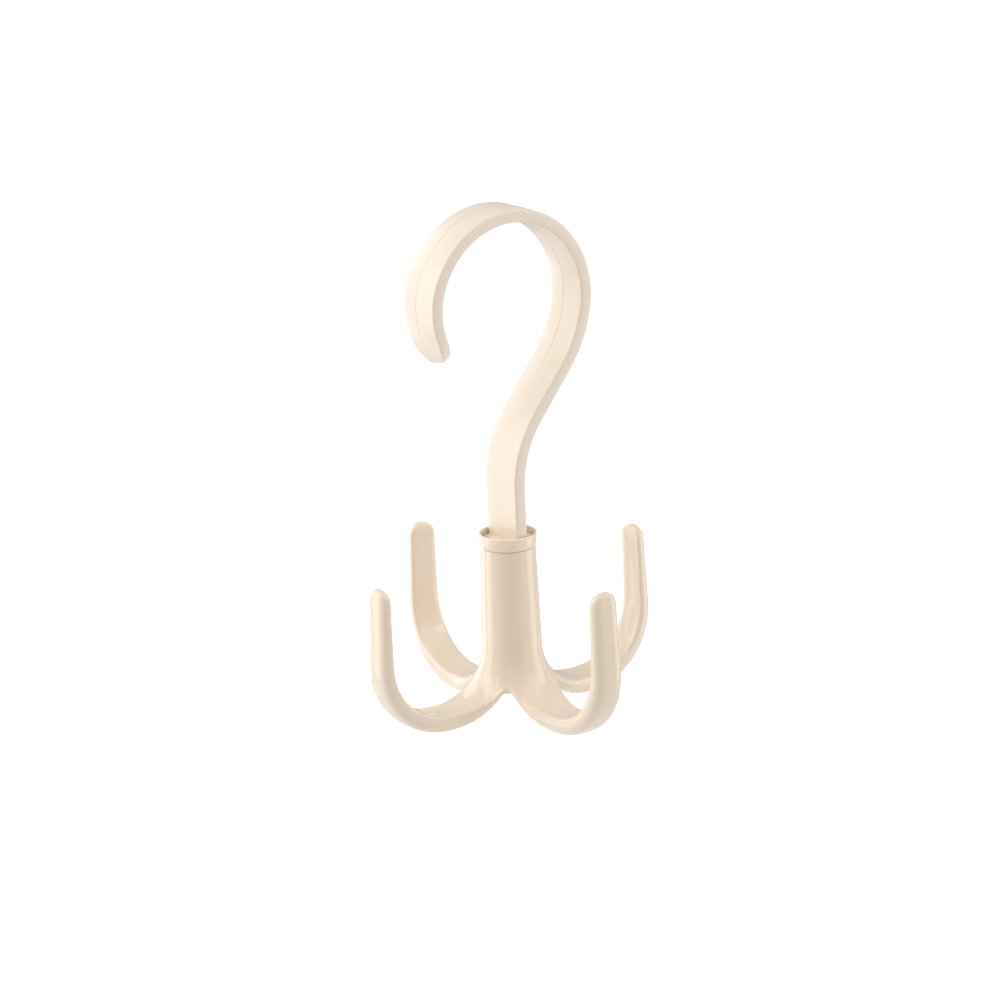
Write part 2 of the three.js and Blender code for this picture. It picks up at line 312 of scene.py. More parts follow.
def boolean(target: bpy.types.Object, tool: bpy.types.Object, operation: str) -> None:
    """Joins a tool mesh to a target or cuts it away, and removes the tool.

    Args:
        target: The object that is changed.
        tool: The object that is joined or cut away.
        operation: UNION or DIFFERENCE.
    """
    modifier = target.modifiers.new("combine", "BOOLEAN")
    modifier.operation = operation
    modifier.solver = "EXACT"
    modifier.object = tool
    keep_result(target, modifier)
    bpy.data.objects.remove(tool)
    with editing(target.data) as shell:
        bmesh.ops.remove_doubles(shell, verts=shell.verts, dist=WELD_REACH)
        bmesh.ops.dissolve_degenerate(shell, dist=SLIVER_LENGTH, edges=shell.edges)


def run_tree(piece: bpy.types.Object, tree: bpy.types.NodeTree,
             values: dict[str, object]) -> None:
    """Runs geometry nodes on an object, and keeps what they make as its plain mesh.

    Args:
        piece: The object, with the mesh that the nodes start from.
        tree: The node tree.
        values: The value of each named input.
    """
    modifier = piece.modifiers.new(tree.name, "NODES")
    modifier.node_group = tree
    for socket in tree.interface.items_tree:
        if socket.in_out == "INPUT" and socket.name in values:
            modifier[socket.identifier] = values[socket.name]
    keep_result(piece, modifier)


class NodeSketch:
    """Short way to write a node tree: each call adds a node and links what it is given."""

    MIX_COLOURS = (6, 7)
    MIXED_COLOUR = 2

    def __init__(self, tree: bpy.types.NodeTree) -> None:
        """Keeps the tree that is written."""
        self.tree = tree

    def sockets(self, kinds: dict[str, str], way: str = "INPUT") -> None:
        """Adds sockets to the tree's interface.

        Args:
            kinds: The kind of each socket by its name, such as Float.
            way: INPUT or OUTPUT.
        """
        for name, kind in kinds.items():
            self.tree.interface.new_socket(name, in_out=way, socket_type=f"NodeSocket{kind}")

    def feed(self, node: bpy.types.Node, inputs: dict) -> None:
        """Sets or links a node's inputs.

        Args:
            node: The node.
            inputs: Values or output sockets for its inputs, by name or number.
        """
        for key, value in inputs.items():
            if isinstance(value, Socket):
                self.tree.links.new(value, node.inputs[key])
            else:
                node.inputs[key].default_value = value

    def add(self, kind: str, inputs: dict | None = None, **settings: object) -> Outputs:
        """Adds a node.

        Args:
            kind: The node's type.
            inputs: Values or output sockets for its inputs, by name or number.
            settings: The node's own properties.

        Returns:
            The node's outputs.
        """
        node = self.tree.nodes.new(kind)
        for key, value in settings.items():
            setattr(node, key, value)
        self.feed(node, inputs or {})
        return node.outputs

    def math(self, operation: str, *values: object) -> Socket:
        """Output of a Math node with these numbers or sockets."""
        return self.add("ShaderNodeMath", dict(enumerate(values)), operation=operation)[0]

    plus = partialmethod(math, "ADD")
    minus = partialmethod(math, "SUBTRACT")
    times = partialmethod(math, "MULTIPLY")
    over = partialmethod(math, "DIVIDE")
    power = partialmethod(math, "POWER")
    larger = partialmethod(math, "MAXIMUM")
    absolute = partialmethod(math, "ABSOLUTE")

    def vector(self, operation: str, *values: object) -> Socket:
        """Output of a Vector Math node with these vectors or sockets."""
        found = self.add("ShaderNodeVectorMath", dict(enumerate(values)), operation=operation)
        return found["Value" if operation == "LENGTH" else "Vector"]

    def parts(self, vector: Socket) -> Outputs:
        """The X, Y and Z of a vector."""
        return self.add("ShaderNodeSeparateXYZ", {"Vector": vector})

    def joined(self, **parts: Socket) -> Socket:
        """Vector with these X, Y and Z, and 0 for those that are left out."""
        return self.add("ShaderNodeCombineXYZ", parts)["Vector"]

    def noise(self, place: Socket, scale: float, detail: float = 2.0, **more: float) -> Socket:
        """Noise at a place, from 0 to 1."""
        return self.add("ShaderNodeTexNoise", {
            "Vector": place, "Scale": scale, "Detail": detail, **more})["Fac"]

    def ramp(self, value: Socket, source: tuple, result: tuple = (0.0, 1.0),
             kind: str = "LINEAR") -> Socket:
        """Takes a value from one range to another, and holds it there.

        Args:
            value: The value.
            source: The two ends of the range that it comes from.
            result: What the two ends become.
            kind: LINEAR or SMOOTHSTEP.

        Returns:
            The result's socket.
        """
        return self.add("ShaderNodeMapRange", {
            "Value": value, "From Min": source[0], "From Max": source[1],
            "To Min": result[0], "To Max": result[1]}, interpolation_type=kind)["Result"]

    def blend(self, factor: Socket, *colours: object) -> Socket:
        """Mix of two colours."""
        inputs = {"Factor": factor, **dict(zip(self.MIX_COLOURS, colours))}
        return self.add("ShaderNodeMix", inputs, data_type="RGBA")[self.MIXED_COLOUR]

    def give_out(self, geometry: Socket, material: Socket) -> None:
        """Ends a tree of geometry nodes with plain geometry in its material.

        Args:
            geometry: What the tree made.
            material: The material that it takes.
        """
        real = self.add("GeometryNodeRealizeInstances", {"Geometry": geometry})
        dressed = self.add("GeometryNodeSetMaterial", {
            "Geometry": real["Geometry"], "Material": material})
        self.add("NodeGroupOutput", {"Geometry": dressed["Geometry"]})


def start_geometry(name: str, kinds: dict[str, str]) -> tuple[NodeSketch, Outputs]:
    """Starts a tree of geometry nodes.

    Args:
        name: The tree's name.
        kinds: The kind of each input by its name, besides Geometry and Material.

    Returns:
        A sketch of the tree, and what the tree is given.
    """
    sketch = NodeSketch(bpy.data.node_groups.new(name, "GeometryNodeTree"))
    sketch.sockets({"Geometry": "Geometry", **kinds, "Material": "Material"})
    sketch.sockets({"Geometry": "Geometry"}, "OUTPUT")
    return sketch, sketch.add("NodeGroupInput")


def start_material(name: str) -> tuple[bpy.types.Material, NodeSketch, bpy.types.Node]:
    """Starts a material.

    Args:
        name: The material's name.

    Returns:
        The material, a sketch of its tree, and its main shader.
    """
    made = bpy.data.materials.new(name)
    made.use_nodes = True
    return made, NodeSketch(made.node_tree), made.node_tree.nodes["Principled BSDF"]


class MouldedSurface:
    """Shader group of moulded plastic: flow marks, fine skin, scuffs and the parting line.

    Scales are waves per metre. The parting line lies beside the strap's middle plane, and fades
    downwards between two heights in the part's frame. It is a small real ridge in the height, and
    its darker colour is painted shade beside that ridge.
    """

    NAME = "moulded_surface"
    FLOW_STRETCH = (1.0, 1.0, 0.35)
    FLOW_SCALE = 55.0
    FLOW_DETAIL = 3.0
    FLOW_SHAPE = {"Roughness": 0.55, "Distortion": 0.6}
    FLOW_RANGE = (0.38, 0.72)
    SKIN_SCALE = 900.0
    SKIN_HEIGHT = 0.06
    SWELL_SCALE = 110.0
    SWELL_DETAIL = 1.0
    SCRATCH_TURN = (0.4, 0.3, 0.9)
    SCRATCH_SCALES = (2600.0, 160.0, 900.0)
    SCRATCH_RANGE = (0.62, 0.78)
    PATCH_SCALE = 140.0
    PATCH_RANGE = (0.5, 0.7)
    SCUFF_ROUGHNESS = 0.35
    SCUFF_DEPTH = 0.25
    UNEVEN_ROUGHNESS = 0.10
    PARTING_WANDER = 0.4 * MM
    PARTING_FADE = (-58.0 * MM, -46.0 * MM)
    PARTING_FADED = (0.15, 1.0)
    # Painted shade along the parting line: the colour that darkens the plastic there, and how
    # strongly.
    PARTING_SHADE_COLOUR = (0.55, 0.42, 0.30, 1.0)
    PARTING_SHADE_STRENGTH = 0.75
    PARTING_HEIGHT = 0.8
    LEAST_WIDTH = 1e-7

    @classmethod
    def group(cls) -> bpy.types.NodeTree:
        """The node group, built on the first call."""
        return bpy.data.node_groups.get(cls.NAME) or cls.write()

    @classmethod
    def write(cls) -> bpy.types.NodeTree:
        """Writes the node group.

        Returns:
            The group. It puts out a colour, a roughness and a height.
        """
        tree = bpy.data.node_groups.new(cls.NAME, "ShaderNodeTree")
        sketch = NodeSketch(tree)
        sketch.sockets({"Colour": "Color", "Flow Colour": "Color", "Roughness": "Float",
                        "Scuffs": "Float", "Parting Width": "Float", "Parting Offset": "Float"})
        sketch.sockets({"Colour": "Color", "Roughness": "Float", "Height": "Float"}, "OUTPUT")
        given = sketch.add("NodeGroupInput")
        place = sketch.add("ShaderNodeTexCoord")["Object"]
        stretched = sketch.add("ShaderNodeMapping", {"Vector": place, "Scale": cls.FLOW_STRETCH})
        flow = sketch.noise(stretched["Vector"], cls.FLOW_SCALE, cls.FLOW_DETAIL,
                            **cls.FLOW_SHAPE)
        skin = sketch.noise(place, cls.SKIN_SCALE)
        swell = sketch.noise(place, cls.SWELL_SCALE, cls.SWELL_DETAIL)
        scratched = sketch.add("ShaderNodeMapping", {
            "Vector": place, "Rotation": cls.SCRATCH_TURN, "Scale": cls.SCRATCH_SCALES})
        scuffed = sketch.times(
            sketch.ramp(sketch.noise(scratched["Vector"], 1.0), cls.SCRATCH_RANGE),
            sketch.ramp(sketch.noise(place, cls.PATCH_SCALE), cls.PATCH_RANGE))
        scuffed = sketch.times(scuffed, given["Scuffs"])
        parts = sketch.parts(place)
        uneven = sketch.minus(swell, 0.5)
        from_line = sketch.plus(sketch.minus(parts["Y"], given["Parting Offset"]),
                                sketch.times(uneven, cls.PARTING_WANDER))
        ratio = sketch.over(sketch.absolute(from_line),
                            sketch.larger(given["Parting Width"], cls.LEAST_WIDTH))
        parting = sketch.times(sketch.larger(sketch.minus(1.0, ratio), 0.0),
                               sketch.ramp(parts["Z"], cls.PARTING_FADE, cls.PARTING_FADED))
        tinted = sketch.blend(sketch.ramp(flow, cls.FLOW_RANGE), given["Colour"],
                              given["Flow Colour"])
        # Painted shade: the colour is darkened along the parting line, beside its small ridge.
        parting_shaded = sketch.blend(sketch.times(parting, cls.PARTING_SHADE_STRENGTH), tinted,
                                cls.PARTING_SHADE_COLOUR)
        rough = sketch.plus(given["Roughness"], sketch.times(uneven, cls.UNEVEN_ROUGHNESS))
        rough = sketch.plus(rough, sketch.times(scuffed, cls.SCUFF_ROUGHNESS))
        height = sketch.plus(sketch.times(skin, cls.SKIN_HEIGHT), swell)
        height = sketch.minus(height, sketch.times(scuffed, cls.SCUFF_DEPTH))
        height = sketch.plus(height, sketch.times(parting, cls.PARTING_HEIGHT))
        sketch.add("NodeGroupOutput", {"Colour": parting_shaded, "Roughness": rough, "Height": height})
        return tree


@dataclass(frozen=True)
class PlasticFinish:
    """Glossy moulded plastic. Lengths are in millimetres and colours are linear.

    Flow colour is what the streaks of the melt turn to.
    """

    name: str
    colour: Triple
    flow_colour: Triple
    roughness: float = 0.2
    scuffs: float = 0.3
    parting_width: float = 0.0
    parting_offset: float = 0.0
    swell_height: float = 0.02
    refraction: float = 1.5
    subsurface: float = 0.12
    subsurface_radius: Triple = (1.0, 0.6, 0.35)
    subsurface_depth: float = 1.6
    coat: float = 0.6
    coat_roughness: float = 0.09

    def material(self) -> bpy.types.Material:
        """Builds the material.

        Returns:
            The material, ready for a slot.
        """
        made, sketch, shader = start_material(self.name)
        surface = sketch.add("ShaderNodeGroup", {
            "Colour": (*self.colour, 1.0), "Flow Colour": (*self.flow_colour, 1.0),
            "Roughness": self.roughness, "Scuffs": self.scuffs,
            "Parting Width": self.parting_width * MM,
            "Parting Offset": self.parting_offset * MM}, node_tree=MouldedSurface.group())
        bump = sketch.add("ShaderNodeBump", {
            "Height": surface["Height"], "Strength": 1.0, "Distance": self.swell_height * MM})
        sketch.feed(shader, {
            "Base Color": surface["Colour"], "Roughness": surface["Roughness"],
            "Normal": bump["Normal"], "IOR": self.refraction, "Coat Weight": self.coat,
            "Coat Roughness": self.coat_roughness, "Subsurface Weight": self.subsurface,
            "Subsurface Radius": self.subsurface_radius,
            "Subsurface Scale": self.subsurface_depth * MM})
        made.diffuse_color = (*self.colour, 1.0)
        return made


@dataclass(frozen=True)
class PlatedSteelFinish:
    """Zinc-plated steel with turning marks round the swivel axis."""

    name: str = "plated_steel"
    colour: Triple = (0.60, 0.61, 0.62)
    dull_colour: Triple = (0.42, 0.43, 0.45)
    roughness: float = 0.28
    marks_roughness: float = 0.15
    marks_scale: float = 9000.0
    marks_height: float = 0.01
    marks_strength: float = 0.6
    bloom_scale: float = 700.0
    bloom_detail: float = 3.0

    def material(self) -> bpy.types.Material:
        """Builds the material.

        Returns:
            The material, ready for a slot.
        """
        made, sketch, shader = start_material(self.name)
        place = sketch.add("ShaderNodeTexCoord")["Object"]
        parts = sketch.parts(place)
        radius = sketch.vector("LENGTH", sketch.joined(X=parts["X"], Y=parts["Y"]))
        marks = sketch.noise(sketch.joined(X=sketch.times(radius, self.marks_scale),
                                           Z=sketch.times(parts["Z"], self.marks_scale)), 1.0)
        bloom = sketch.noise(place, self.bloom_scale, self.bloom_detail)
        bump = sketch.add("ShaderNodeBump", {
            "Height": marks, "Strength": self.marks_strength,
            "Distance": self.marks_height * MM})
        sketch.feed(shader, {
            "Base Color": sketch.blend(bloom, (*self.colour, 1.0), (*self.dull_colour, 1.0)),
            "Roughness": sketch.plus(self.roughness, sketch.times(marks, self.marks_roughness)),
            "Normal": bump["Normal"], "Metallic": 1.0})
        made.diffuse_color = (*self.colour, 1.0)
        return made


@dataclass
class StrapHook:
    """The strap hook, one moulding with the disc and journal at its foot.

    Lengths are in millimetres, and leans and turns in degrees.
    """

    finish: PlasticFinish
    seat_radius: float = 27.4
    width: float = 16.9
    thickness: float = 4.6
    mid_ridge: float = 0.14
    edge_radius: float = 0.8
    stem_rise: float = 16.0
    stem_bend_radius: float = 36.6
    shoulder_radius: float = 43.6
    tip_bend_radius: float = 25.2
    tip_straight: float = 3.2
    tip_taper: float = 0.89
    taper_length: float = 25.0
    tongue_length: float = 11.5
    tongue_cut: float = 0.2
    tongue_fullness: float = 2.35
    tip_skew: float = 0.27
    nose_length: float = 1.9
    nose_fullness: float = 2.5
    least_share: float = 0.03
    stem_lean: float = 39.1
    shoulder_turn: float = 24.0
    crown_turn: float = 169.7
    tip_turn: float = 60.7
    foot_top: float = -1.9
    foot_bottom: float = -2.9
    foot_radius: float = 8.55
    foot_fillet: float = 0.25
    journal_radius: float = 3.2
    journal_end: float = -14.0
    journal_root_fillet: float = 0.2
    journal_end_fillet: float = 0.35
    pilot_radius: float = 1.6
    pilot_top: float = -6.1
    pilot_fillet: float = 0.15
    path_step: float = 0.2
    row_spacing: float = 0.7
    tip_rows: int = 36
    tip_rows_reach: float = 1.1
    edge_steps: int = 4
    sides: int = 96
    sharp_above: float = 32.0

    def path(self) -> tuple[np.ndarray, np.ndarray]:
        """Middle line of the strap, from its foot to its tip.

        Returns:
            Points in millimetres from the cap's rim, and each point's distance from the tip.
        """
        lean, shoulder_turn, crown_turn, tip_turn = (math.radians(turn) for turn in (
            self.stem_lean, self.shoulder_turn, self.crown_turn, self.tip_turn))
        shoulder = lean - shoulder_turn
        crown_radius = self.seat_radius + self.thickness / 2
        shift = crown_radius * math.cos(shoulder)
        shift -= self.stem_bend_radius * (1 - math.cos(lean))
        shift -= self.shoulder_radius * (math.cos(shoulder) - math.cos(lean))
        foot = (self.foot_top + self.foot_bottom) / 2
        lengths_and_turns = [
            (self.stem_rise - foot, 0.0),
            (self.stem_bend_radius * lean, lean),
            (shift / math.sin(lean), 0.0),
            (self.shoulder_radius * shoulder_turn, -shoulder_turn),
            (crown_radius * crown_turn, -crown_turn),
            (self.tip_bend_radius * tip_turn, -tip_turn),
            (self.tip_straight, 0.0),
        ]
        points = [(0.0, foot)]
        heading = 0.0
        for length, turn in lengths_and_turns:
            parts = math.ceil(length / self.path_step)
            chord, bend = length / parts, turn / parts
            for _ in range(parts):
                x, z = points[-1]
                middle = heading + bend / 2
                points.append((x + chord * math.sin(middle), z + chord * math.cos(middle)))
                heading += bend
        line = np.array(points)
        along = np.concatenate([[0.0], np.cumsum(np.linalg.norm(np.diff(line, axis=0), axis=1))])
        run_out = self.tongue_length * self.tip_rows_reach
        steady = np.arange(0.0, along[-1] - run_out, self.row_spacing)
        slowing = along[-1] - run_out * (1 - np.sin(np.linspace(0, math.pi / 2, self.tip_rows)))
        kept = np.concatenate([steady, slowing])
        x, z = (np.interp(kept, along, line[:, axis]) for axis in (0, 1))
        return np.stack([x, np.zeros(len(x)), z], axis=1), along[-1] - kept

    def inputs(self) -> dict[str, float]:
        """Numbers for the sweep.

        Returns:
            Each input's value by its name, with lengths in metres.
        """
        lengths = {
            "Width": self.width, "Thickness": self.thickness, "Edge Radius": self.edge_radius,
            "Mid Ridge": self.mid_ridge, "Tongue Length": self.tongue_length,
            "Tongue Cut": self.tongue_cut, "Nose Length": self.nose_length,
            "Taper Length": self.taper_length}
        ratios = {
            "Tongue Fullness": self.tongue_fullness, "Nose Fullness": self.nose_fullness,
            "Taper": self.tip_taper, "Tip Skew": self.tip_skew}
        return {name: length * MM for name, length in lengths.items()} | ratios

    def share_left(self, sketch: NodeSketch, away: Socket, length: Socket,
                   fullness: Socket) -> Socket:
        """Share of a half size that a rounded end leaves.

        Args:
            sketch: Where the nodes are written.
            away: Distance from the end's apex.
            length: How far the end rounds.
            fullness: Power of its curve, 2 for an ellipse.

        Returns:
            The share.
        """
        into = sketch.larger(sketch.minus(length, away), 0.0)
        far = sketch.power(sketch.over(into, length), fullness)
        rest = sketch.larger(sketch.minus(1.0, far), 0.0)
        share = sketch.power(rest, sketch.over(1.0, fullness))
        return sketch.larger(share, self.least_share)

    def strap_tree(self) -> bpy.types.NodeTree:
        """Geometry nodes that sweep the strap's rounded section along its middle line.

        Returns:
            The tree.
        """
        sketch, given = start_geometry("strap_sweep", dict.fromkeys(self.inputs(), "Float"))
        line = sketch.add("GeometryNodeMeshToCurve", {"Mesh": given["Geometry"]})
        upright = sketch.add("GeometryNodeSetCurveNormal", {
            "Curve": line["Curve"], "Normal": (0.0, 1.0, 0.0)}, mode="FREE")
        position = sketch.add("GeometryNodeInputPosition")["Position"]
        capture = sketch.tree.nodes.new("GeometryNodeCaptureAttribute")
        capture.capture_items.new("VECTOR", "Centre")
        capture.capture_items.new("VECTOR", "Heading")
        sketch.feed(capture, {
            "Geometry": upright["Curve"], "Centre": position,
            "Heading": sketch.add("GeometryNodeInputTangent")["Tangent"]})
        centre, heading = capture.outputs["Centre"], capture.outputs["Heading"]
        section = sketch.add("GeometryNodeCurvePrimitiveQuadrilateral", {
            "Width": given["Width"], "Height": given["Thickness"]}, mode="RECTANGLE")
        rounded = sketch.add("GeometryNodeFilletCurve", {
            "Curve": section["Curve"], "Count": self.edge_steps,
            "Radius": given["Edge Radius"]}, mode="POLY")
        halved = sketch.add("GeometryNodeSubdivideCurve", {"Curve": rounded["Curve"], "Cuts": 1})
        swept = sketch.add("GeometryNodeCurveToMesh", {
            "Curve": capture.outputs["Geometry"], "Profile Curve": halved["Curve"],
            "Fill Caps": True})
        from_tip = sketch.add("GeometryNodeInputNamedAttribute", {
            "Name": "from_tip"}, data_type="FLOAT")["Attribute"]
        off = sketch.parts(sketch.vector("SUBTRACT", position, centre))
        side = sketch.over(sketch.absolute(off["Y"]), sketch.times(given["Width"], 0.5))
        drop = sketch.over(given["Mid Ridge"], sketch.times(given["Thickness"], 0.5))
        ridge = sketch.minus(1.0, sketch.times(drop, side))
        nose = self.share_left(sketch, from_tip, given["Nose Length"], given["Nose Fullness"])
        tongue = self.share_left(sketch, sketch.plus(from_tip, given["Tongue Cut"]),
                                 given["Tongue Length"], given["Tongue Fullness"])
        taper = sketch.ramp(from_tip, (0.0, given["Taper Length"]), (given["Taper"], 1.0),
                            "SMOOTHSTEP")
        skew = sketch.ramp(from_tip, (0.0, given["Tongue Length"]), (given["Tip Skew"], 0.0),
                           "SMOOTHSTEP")
        depth = sketch.times(sketch.times(ridge, nose), taper)
        across = sketch.times(off["Y"], tongue)
        place = sketch.joined(X=sketch.times(off["X"], depth), Y=across,
                              Z=sketch.times(off["Z"], depth))
        shear = sketch.add("ShaderNodeVectorMath", {
            0: heading, "Scale": sketch.times(across, skew)}, operation="SCALE")["Vector"]
        shaped = sketch.add("GeometryNodeSetPosition", {
            "Geometry": swept["Mesh"],
            "Position": sketch.vector("ADD", centre, sketch.vector("ADD", place, shear))})
        sketch.give_out(shaped["Geometry"], given["Material"])
        return sketch.tree

    def strap(self, material: bpy.types.Material) -> bpy.types.Object:
        """Sweeps the strap.

        Args:
            material: Its finish.

        Returns:
            An object with the strap's plain mesh.
        """
        line, from_tip = self.path()
        mesh = raw_mesh("strap_line", line, [(i, i + 1) for i in range(len(line) - 1)], [])
        distances = mesh.attributes.new("from_tip", "FLOAT", "POINT")
        distances.data.foreach_set("value", (from_tip * MM).astype(np.float32))
        piece = new_object("upper_hook_moulding", mesh)
        run_tree(piece, self.strap_tree(), {**self.inputs(), "Material": material})
        with editing(piece.data) as shell:
            bmesh.ops.recalc_face_normals(shell, faces=shell.faces)
        return piece

    def build(self) -> bpy.types.Object:
        """Builds the hook and lets it stand for its CAD node.

        Returns:
            The finished object.
        """
        material = self.finish.material()
        piece = self.strap(material)
        profile = filleted([
            (self.pilot_radius, self.pilot_top, 0),
            (self.pilot_radius, self.journal_end, self.pilot_fillet),
            (self.journal_radius, self.journal_end, self.journal_end_fillet),
            (self.journal_radius, self.foot_bottom, self.journal_root_fillet),
            (self.foot_radius, self.foot_bottom, self.foot_fillet),
            (self.foot_radius, self.foot_top, self.foot_fillet), (0.0, self.foot_top, 0)])
        foot = turned_piece("hook_foot", [(0.0, self.pilot_top), *profile], self.sides, material)
        boolean(piece, foot, "UNION")
        shade(piece.data, self.sharp_above)
        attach(piece, Body.HOOK.value)
        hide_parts("upper_hook")
        return piece


@dataclass
class CollarCap:
    """The turned ring at the top of the tube. Millimetres from its rim.

    Its profile starts and ends at the seam radius, on the lower end of the skirt.
    """

    finish: PlasticFinish
    rim_radius: float = 9.7
    base_radius: float = 9.3
    height: float = 4.52
    wall: float = 0.85
    recess_depth: float = 3.2
    recess_fillet: float = 0.4
    skirt_length: float = 5.88
    skirt_radius: float = 7.2
    skirt_fillet: float = 0.35
    bearing_radius: float = 3.5
    inner_fillet: float = 0.2
    edge_radius: float = 0.35
    lip_radius: float = 0.3
    seam_radius: float = 4.5
    fillet_steps: int = 5
    sides: int = 128
    sharp_above: float = 35.0

    def build(self) -> bpy.types.Object:
        """Builds the cap and lets it stand for its CAD node.

        Returns:
            The finished object.
        """
        recess = self.rim_radius - self.wall
        skirt_end = -self.height - self.skirt_length
        profile = filleted([
            (self.seam_radius, skirt_end, 0),
            (self.skirt_radius, skirt_end, self.skirt_fillet),
            (self.skirt_radius, -self.height, self.inner_fillet),
            (self.base_radius, -self.height, self.edge_radius),
            (self.rim_radius, 0.0, self.edge_radius), (recess, 0.0, self.lip_radius),
            (recess, -self.recess_depth, self.recess_fillet),
            (self.bearing_radius, -self.recess_depth, self.inner_fillet),
            (self.bearing_radius, skirt_end, self.inner_fillet),
            (self.seam_radius, skirt_end, 0)], self.fillet_steps)
        piece = turned_piece("collar_cap_ring", profile, self.sides, self.finish.material())
        shade(piece.data, self.sharp_above)
        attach(piece, Body.CLAWS.value)
        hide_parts("collar_cap")
        return piece


@dataclass(frozen=True)
class Station:
    """A place along a claw: its middle point, bend in radians and distance from the root.

    Drawn is the angle, round the tip, by which the claw has drawn in.
    """

    x: float
    z: float
    bend: float
    along: float
    drawn: float = 0.0


@dataclass
class ClawBody:
    """The tube and its four claws, one hollow moulding. Millimetres from the cap's rim.

    One petal, a quarter of the tube with its claw, is laid out as rows of nine points that run
    from the claw's tip along its back, up the bore, over the tube's top and down the outside to
    the tip again. Above the crotch a petal shares its outer columns with its neighbours, and
    below it side strips close each claw. Geometry nodes turn the petal round and smooth it.

    Bends are in degrees, and a pair of bends is where a form starts and where it is complete.
    Column fields go from the claw's middle to its side. Edge fields are offsets from a corner.
    """

    finish: PlasticFinish
    claws: int = 4
    tube_top: float = -4.64
    tube_top_radius: float = 9.1
    tube_flare_radius: float = 10.0
    taper_length: float = 35.0
    counterbore_radius: float = 7.5
    counterbore_floor: float = -10.7
    web_bottom: float = -13.7
    bearing_radius: float = 3.5
    bore_top_radius: float = 6.0
    bore_end_radius: float = 6.38
    bore_rows: Row = (-36.0, -30.0, -22.0, -16.5)
    wall_rows: Row = (-10.0, -17.0, -24.0, -30.0, -35.0)
    web_run: float = 0.7
    rim_run: float = 1.6
    web_row: float = 4.8
    floor_row: float = 5.6
    web_edge: Edge = ((-0.1, -0.18), (-0.5, 0.0))
    bearing_edge: Edge = ((0.45, 0.0), (0.1, 0.06), (0.0, 0.35))
    floor_edge: Edge = ((-0.6, 0.0), (-0.12, 0.12), (0.0, 0.6))
    lip_edge: Edge = ((0.0, -0.6), (0.1, -0.1), (0.45, 0.0))
    rim_edge: Edge = ((-0.5, 0.0), (-0.1, -0.1), (0.01, -0.5))
    root_middle: float = 7.697
    root_radius: float = 9.97
    root_length: float = 3.33
    root_thickness: float = 4.0
    bend_start: float = -39.03
    inner_bend_radius: float = 19.92
    cradle_flat: float = 1.6
    outer_bend_radius: float = 23.384
    outer_steps: int = 8
    limb_length: float = 26.46
    limb_shares: Row = (0.33, 0.66, 0.9, 1.0)
    tip_lean: float = 1.5
    tip_round: float = 4.2
    tip_draws: Row = (24.0, 46.0, 65.0, 79.0)
    tip_fullness: float = 0.8
    cradle_width: float = 12.5
    tip_width: float = 9.7
    cradle_thickness: float = 6.3
    tip_thickness: float = 4.0
    bends_before_crotch: Row = (0.0, 8.0, 16.0, 23.0, 29.0, 34.0)
    bends_after_crotch: Row = (37.5, 42.0, 48.0, 55.0, 63.0, 72.0, 81.0, 90.0)
    width_bends: Row = (*bends_after_crotch, 100.0, 112.0)
    half_widths: Row = (9.35, 9.0, 8.75, 8.46, 8.03, 7.42, 6.91, 6.55, 6.35, 6.25)
    seam_search: Pair = (5.0, 16.0)
    seam_tries: int = 40
    flat_bends: Pair = (0.0, 90.0)
    spread_bends: Pair = (10.0, 62.0)
    edged_bends: Pair = (30.0, 62.0)
    rounded_bends: Pair = (20.0, 80.0)
    opened_bends: Pair = (10.0, 75.0)
    upright_bends: Pair = (90.0, 160.0)
    column_angles: Row = (0.0, 11.0, 22.0, 33.0, 45.0)
    column_shares: Row = (0.0, 0.45, 0.82, 0.945, 1.0)
    back_shares: Row = (0.0, 0.33, 0.62, 0.86, 0.985)
    cradle_drops: Row = (0.0, 0.0, 0.0, 0.055, 0.206)
    limb_drops: Row = (0.0, 0.01, 0.05, 0.115, 0.205)
    cradle_fullness: float = 3.3
    limb_fullness: float = 3.0
    smoothing: int = 2
    weld_distance: float = 0.02
    settle_steps: int = 8
    settle_reach: float = 1.2

    @property
    def columns(self) -> int:
        """Points in a whole row of a petal."""
        return 2 * len(self.column_angles) - 1

    def stations(self) -> list[Station]:
        """Places along the claw, from the start of its inner bend to its tip.

        Returns:
            The places.
        """
        places = []
        radius = self.inner_bend_radius
        for bend in map(math.radians, (*self.bends_before_crotch, *self.bends_after_crotch)):
            places.append(Station(self.root_middle + radius * (1 - math.cos(bend)),
                                  self.bend_start - radius * math.sin(bend),
                                  bend, self.root_length + radius * bend))
        floor = places[-1]
        start = floor.x + self.cradle_flat
        along = floor.along + self.cradle_flat
        radius = self.outer_bend_radius
        for step in range(self.outer_steps + 1):
            turn = math.radians(90.0 + self.tip_lean) * step / self.outer_steps
            places.append(Station(start + radius * math.sin(turn),
                                  floor.z + radius * (1 - math.cos(turn)),
                                  math.pi / 2 + turn, along + radius * turn))
        foot = places[-1]
        lean = math.radians(self.tip_lean)
        limb = [(share, 0.0) for share in self.limb_shares]
        tip = [(1.0, math.radians(drawn)) for drawn in self.tip_draws]
        for share, drawn in limb + tip:
            travelled = (self.limb_length - self.tip_round) * share
            travelled += self.tip_round * math.sin(drawn)
            places.append(Station(foot.x - travelled * math.sin(lean),
                                  foot.z + travelled * math.cos(lean),
                                  foot.bend, foot.along + travelled, drawn))
        return places

